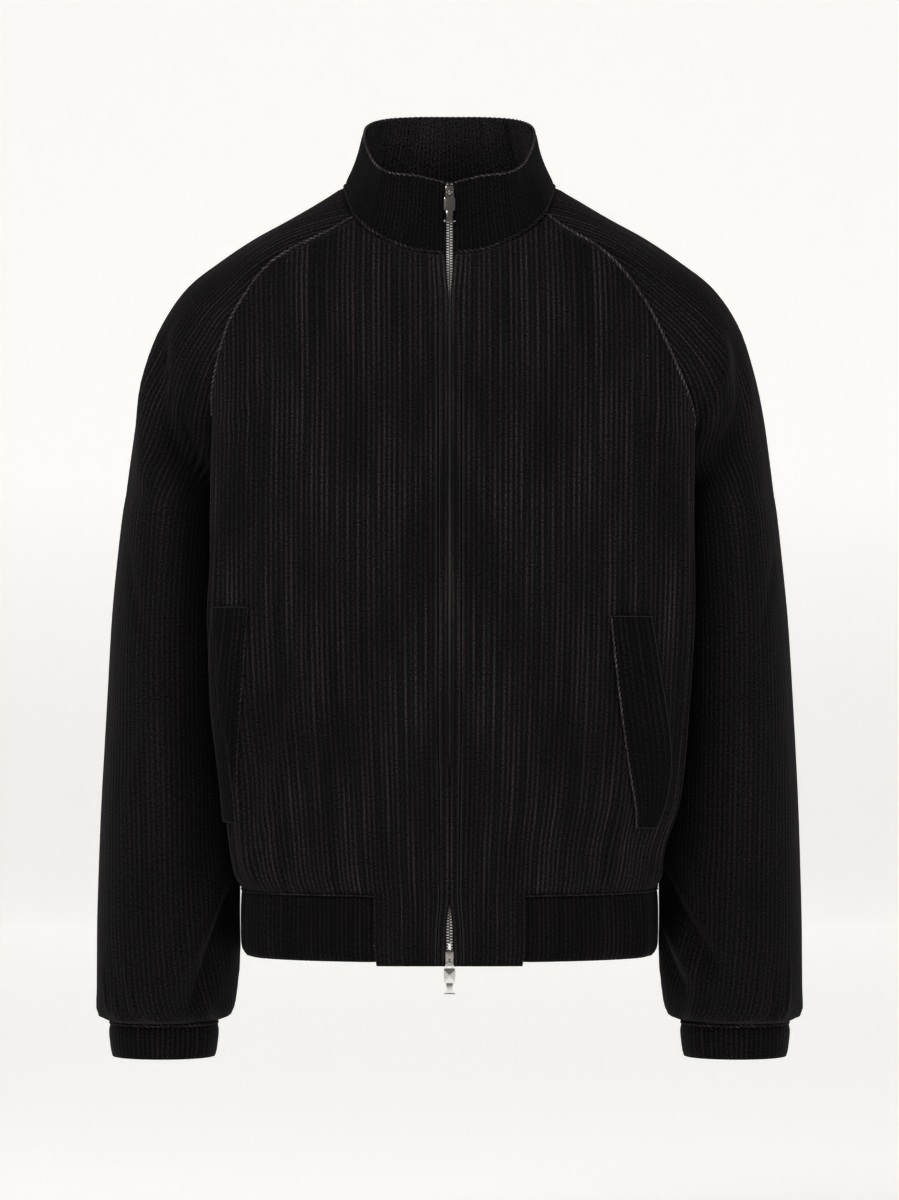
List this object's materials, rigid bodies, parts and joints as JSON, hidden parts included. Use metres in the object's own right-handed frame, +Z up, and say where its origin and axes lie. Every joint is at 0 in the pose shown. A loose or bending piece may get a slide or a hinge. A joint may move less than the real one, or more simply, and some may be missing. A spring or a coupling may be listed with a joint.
{
  "type": "track jacket",
  "caption": "Hollow long-sleeved corduroy jacket with raglan sleeves, a stand-up collar, slanted pocket welts, a banded hem and cuffs, and a two-way front zip.",
  "frame": {"origin": "between the shoulders at the middle of the neck, where the wearer carries the jacket", "axes": "+Z up, -Y towards the front, +X to the right as one looks at the front"},
  "size_m": [0.618, 0.2471, 0.8314],
  "materials": {
    "corduroy": "black wide-wale cotton corduroy",
    "nickel": "polished nickel-plated brass"
  },
  "bodies": {
    "jacket": {"front_left": "corduroy", "front_right": "corduroy", "back": "corduroy", "sleeve_left": "corduroy", "sleeve_right": "corduroy", "collar": "corduroy", "hem_band": "corduroy", "cuff_left": "corduroy", "cuff_right": "corduroy", "pocket_welt_left": "corduroy", "pocket_welt_right": "corduroy", "zip_left": "nickel", "zip_right": "nickel", "slider_top": "nickel", "slider_bottom": "nickel", "stop_left": "nickel", "stop_right": "nickel"},
    "upper_pull": {"pull_top": "nickel"},
    "lower_pull": {"pull_bottom": "nickel"}
  },
  "joints": [
    {"name": "upper_pull_swing", "type": "hinge", "parent": "jacket", "child": "upper_pull", "pos_m": [0, -0.07396, 0.01368], "axis": [-1, 0, 0], "range_deg": [0, 160]},
    {"name": "lower_pull_swing", "type": "hinge", "parent": "jacket", "child": "lower_pull", "pos_m": [0, -0.11759, -0.64865], "axis": [-1, 0, 0], "range_deg": [0, 165]}
  ]
}
